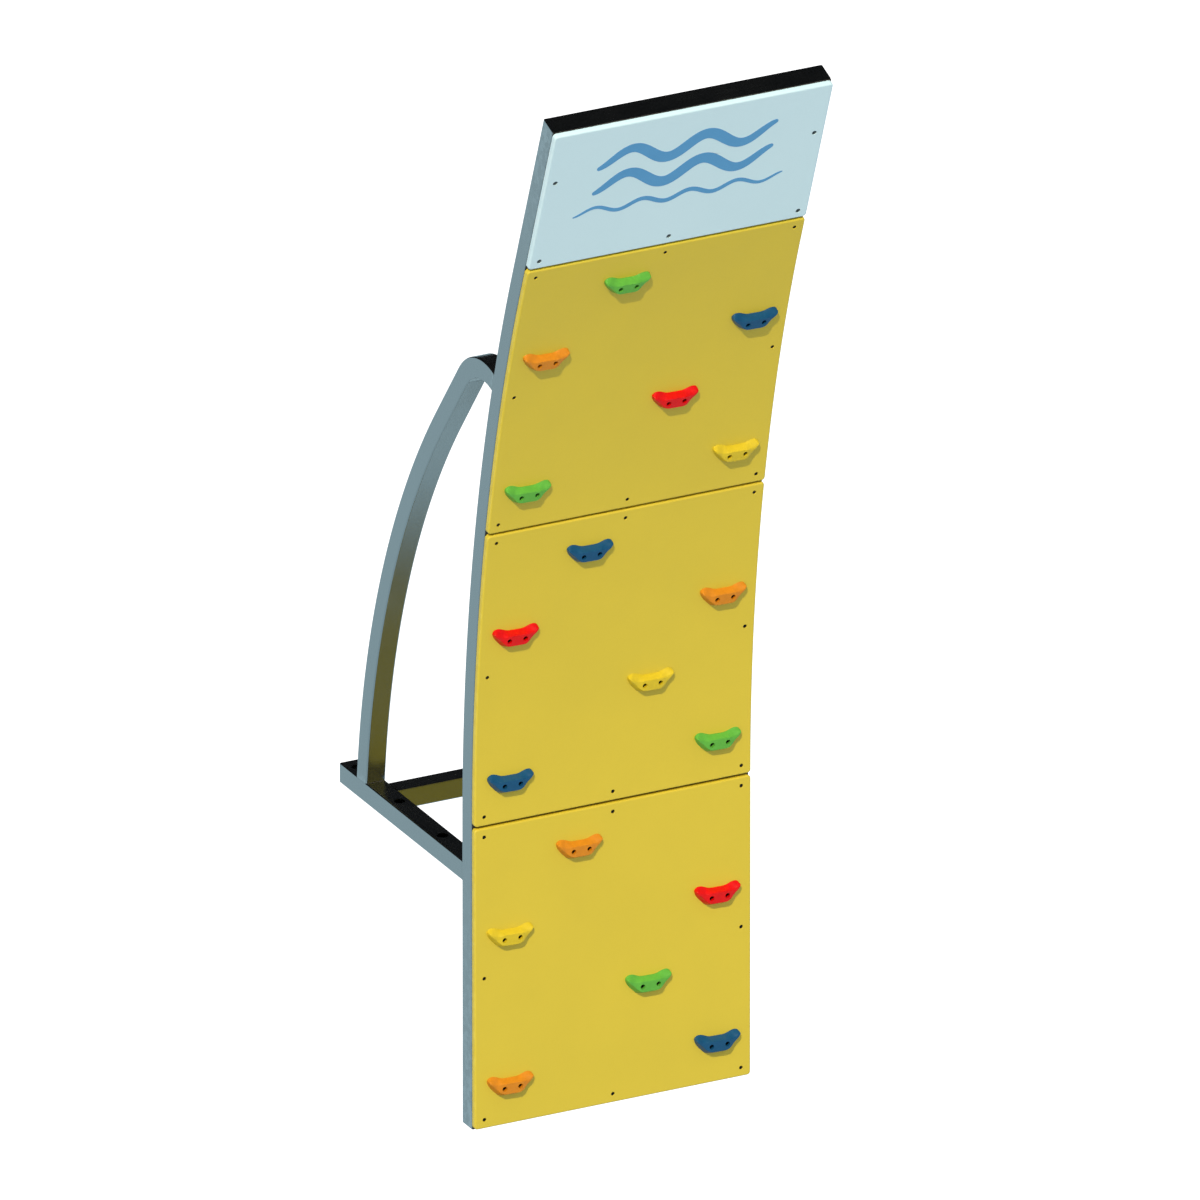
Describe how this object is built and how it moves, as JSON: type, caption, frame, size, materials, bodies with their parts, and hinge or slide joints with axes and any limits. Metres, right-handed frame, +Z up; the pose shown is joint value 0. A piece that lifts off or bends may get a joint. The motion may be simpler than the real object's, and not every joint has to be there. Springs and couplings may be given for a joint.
{
  "type": "rock climbing wall",
  "caption": "Overhanging climbing wall for a pool edge: curved plastic panels with bolt-on holds on a bent square-tube frame that anchors to the deck.",
  "frame": {"origin": "centre of the six deck anchor holes, at deck level (the underside of the base rails)", "axes": "+X across the wall to the right as the climber sees it from the water, climbing side faces -Y, +Z up"},
  "size_m": [1, 1.5567, 3.7403],
  "materials": {
    "steel_frame": "satin polished stainless steel tube, welded",
    "steel_fastener": "plain stainless steel",
    "panel_yellow": "satin yellow polyethylene sheet, edges rounded over",
    "panel_header": "satin pale blue polyethylene sheet, edges rounded over",
    "rubber_strip": "black cellular rubber strip",
    "hold_orange": "moulded resin with a fine grit",
    "hold_red": "moulded resin with a fine grit",
    "hold_yellow": "moulded resin with a fine grit",
    "hold_green": "moulded resin with a fine grit",
    "hold_blue": "moulded resin with a fine grit"
  },
  "bodies": {
    "root": {"bar_foot": "steel_frame", "bar_seam_lower": "steel_frame", "bar_seam_middle": "steel_frame", "bar_seam_upper": "steel_frame", "bar_top": "steel_frame", "brace_left": "steel_frame", "brace_right": "steel_frame", "foot_plates": "steel_frame", "gasket_foot": "rubber_strip", "gasket_left": "rubber_strip", "gasket_right": "rubber_strip", "gasket_seam_lower": "rubber_strip", "gasket_seam_middle": "rubber_strip", "gasket_seam_upper": "rubber_strip", "gasket_top": "rubber_strip", "hold_bolts_lower": "steel_fastener", "hold_bolts_middle": "steel_fastener", "hold_bolts_upper": "steel_fastener", "hold_lower_1": "hold_orange", "hold_lower_2": "hold_blue", "hold_lower_3": "hold_green", "hold_lower_4": "hold_yellow", "hold_lower_5": "hold_red", "hold_lower_6": "hold_orange", "hold_middle_1": "hold_blue", "hold_middle_2": "hold_green", "hold_middle_3": "hold_yellow", "hold_middle_4": "hold_red", "hold_middle_5": "hold_orange", "hold_middle_6": "hold_blue", "hold_upper_1": "hold_green", "hold_upper_2": "hold_yellow", "hold_upper_3": "hold_red", "hold_upper_4": "hold_orange", "hold_upper_5": "hold_blue", "hold_upper_6": "hold_green", "panel_header": "panel_header", "panel_lower": "panel_yellow", "panel_middle": "panel_yellow", "panel_upper": "panel_yellow", "rail_end_plates": "steel_frame", "rail_left": "steel_frame", "rail_right": "steel_frame", "rear_beam": "steel_frame", "rivet_nuts_header": "steel_fastener", "rivet_nuts_lower": "steel_fastener", "rivet_nuts_middle": "steel_fastener", "rivet_nuts_upper": "steel_fastener", "screws_header": "steel_fastener", "screws_lower": "steel_fastener", "screws_middle": "steel_fastener", "screws_upper": "steel_fastener", "stile_left": "steel_frame", "stile_right": "steel_frame", "tee_nuts_lower": "steel_fastener", "tee_nuts_middle": "steel_fastener", "tee_nuts_upper": "steel_fastener", "top_plate": "steel_frame"}
  },
  "joints": []
}
